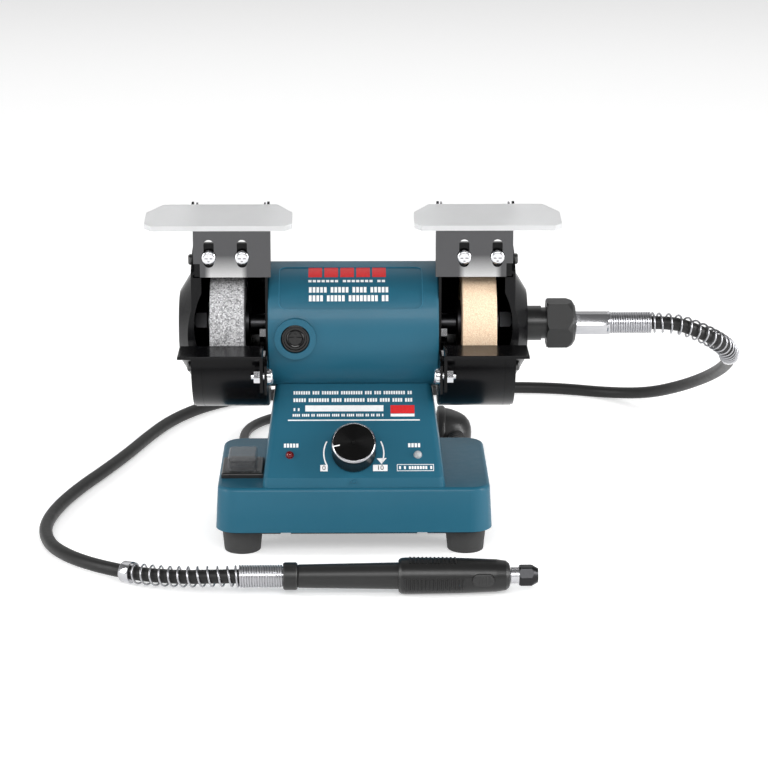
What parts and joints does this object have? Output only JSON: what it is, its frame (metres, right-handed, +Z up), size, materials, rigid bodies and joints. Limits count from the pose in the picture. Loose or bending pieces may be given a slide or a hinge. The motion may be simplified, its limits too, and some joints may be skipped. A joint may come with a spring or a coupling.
{
  "type": "bench grinder",
  "caption": "Mini bench grinder with a coarse and a fine wheel, guards, eye shields, tool rests, speed control, and a flexible shaft with a handpiece.",
  "frame": {"origin": "centre of the four bench bolt holes in the feet, on the surface that the feet stand on", "axes": "+Z up, +X along the spindle towards the flexible shaft, -Y towards the operator"},
  "size_m": [0.4355, 0.4403, 0.2076],
  "materials": {
    "blue_paint": "glossy teal-blue enamel",
    "black_paint": "gloss black powder coat",
    "dark_plastic": "fine satin black moulding",
    "gloss_black": "gloss black moulding",
    "rubber": "matte dark rubber",
    "steel": "brushed steel",
    "chrome": "polished chrome plate",
    "cast_metal": "as-cast aluminium",
    "iron": "laminated electrical steel",
    "copper": "enamelled copper",
    "brass": "plain brass",
    "carbon": "pressed carbon",
    "coarse_grit": "coarse grey abrasive",
    "fine_grit": "fine cream abrasive",
    "clear_plastic": "clear polycarbonate",
    "knob_metal": "black anodised knurl with a bright rim",
    "board": "printed circuit board"
  },
  "bodies": {
    "root": {"base_housing": "blue_paint", "bottom_plate": "black_paint", "rubber_feet": "rubber", "case_screws": "steel", "neck_housing": "blue_paint", "motor_housing": "blue_paint", "end_bells": "cast_metal", "spindle_bearings": "steel", "stator_core": "iron", "field_windings": "copper", "brush_holders": "brass", "carbon_brushes": "carbon", "brush_caps": "gloss_black", "left_guard_cover": "black_paint", "right_guard_cover": "black_paint", "guard_bolts": "chrome", "cover_screws": "steel", "bracket_screws": "chrome", "left_guard": "black_paint", "right_guard": "black_paint", "control_board": "board", "indicator_lights": "clear_plastic", "switch_body": "dark_plastic", "switch_boot": "clear_plastic", "shaft_adaptor": "dark_plastic", "union_nut": "dark_plastic", "shaft_ferrules": "chrome", "flexible_hose": "rubber", "bend_springs": "steel", "handpiece_sleeve": "dark_plastic", "handpiece_grip": "dark_plastic", "handpiece_bearings": "steel", "cord_gland": "rubber", "power_cord": "rubber", "power_cord_coil": "rubber", "plug": "gloss_black"},
    "spindle": {"spindle_shaft": "steel", "armature": "iron", "commutator": "copper", "cooling_fan": "dark_plastic", "coarse_wheel": "coarse_grit", "fine_wheel": "fine_grit", "wheel_flanges": "steel", "spindle_nuts": "steel"},
    "handpiece_drive": {"handpiece_spindle": "steel", "collet_nut": "steel"},
    "lock_button": {"lock_button": "dark_plastic"},
    "knob": {"speed_knob": "knob_metal"},
    "rocker": {"switch_rocker": "gloss_black"},
    "left_bracket": {"left_spark_bracket": "steel"},
    "left_shield": {"left_shield_hinge": "steel", "left_eye_shield": "clear_plastic"},
    "left_clamp": {"left_rest_clamp": "chrome"},
    "left_rest": {"left_tool_rest": "black_paint"},
    "right_bracket": {"right_spark_bracket": "steel"},
    "right_shield": {"right_shield_hinge": "steel", "right_eye_shield": "clear_plastic"},
    "right_clamp": {"right_rest_clamp": "chrome"},
    "right_rest": {"right_tool_rest": "black_paint"}
  },
  "joints": [
    {"name": "spindle_spin", "type": "hinge", "parent": "root", "child": "spindle", "pos_m": [0, 0.01, 0.126], "axis": [1, 0, 0], "continuous": true},
    {"name": "handpiece_spin", "type": "hinge", "parent": "root", "child": "handpiece_drive", "pos_m": [0.09, -0.1155, 0.0104], "axis": [1, 0, 0], "continuous": true},
    {"name": "lock_button_press", "type": "slide", "parent": "root", "child": "lock_button", "axis": [0, 0.9994, -0.0349], "range_m": [0, 0.0012], "stiffness_N_per_m": 400, "springref_m": -0.001},
    {"name": "knob_turn", "type": "hinge", "parent": "root", "child": "knob", "pos_m": [0, -0.04109, 0.06031], "axis": [0, 0.7316, -0.6817], "range_deg": [0, 270]},
    {"name": "rocker_tilt", "type": "hinge", "parent": "root", "child": "rocker", "pos_m": [-0.066, -0.0155, 0.0425], "axis": [1, 0, 0], "range_deg": [0, 16]},
    {"name": "left_bracket_slide", "type": "slide", "parent": "root", "child": "left_bracket", "axis": [0, 0, 1], "range_m": [-0.005, 0.003]},
    {"name": "left_shield_tilt", "type": "hinge", "parent": "left_bracket", "child": "left_shield", "pos_m": [-0.07, -0.0265, 0.204], "axis": [-1, 0, 0], "range_deg": [-20, 95]},
    {"name": "left_clamp_slide", "type": "slide", "parent": "root", "child": "left_clamp", "axis": [0, 1, 0], "range_m": [-0.004, 0.001]},
    {"name": "left_rest_tilt", "type": "hinge", "parent": "left_clamp", "child": "left_rest", "pos_m": [-0.0527, -0.0445, 0.108], "axis": [1, 0, 0], "range_deg": [-2, 20]},
    {"name": "right_bracket_slide", "type": "slide", "parent": "root", "child": "right_bracket", "axis": [0, 0, 1], "range_m": [-0.005, 0.003]},
    {"name": "right_shield_tilt", "type": "hinge", "parent": "right_bracket", "child": "right_shield", "pos_m": [0.07, -0.0265, 0.204], "axis": [-1, 0, 0], "range_deg": [-20, 95]},
    {"name": "right_clamp_slide", "type": "slide", "parent": "root", "child": "right_clamp", "axis": [0, 1, 0], "range_m": [-0.004, 0.001]},
    {"name": "right_rest_tilt", "type": "hinge", "parent": "right_clamp", "child": "right_rest", "pos_m": [0.0527, -0.0445, 0.108], "axis": [1, 0, 0], "range_deg": [-2, 20]}
  ],
  "couplings": [
    {"joint": "handpiece_spin", "follows": "spindle_spin", "ratio": 1}
  ]
}
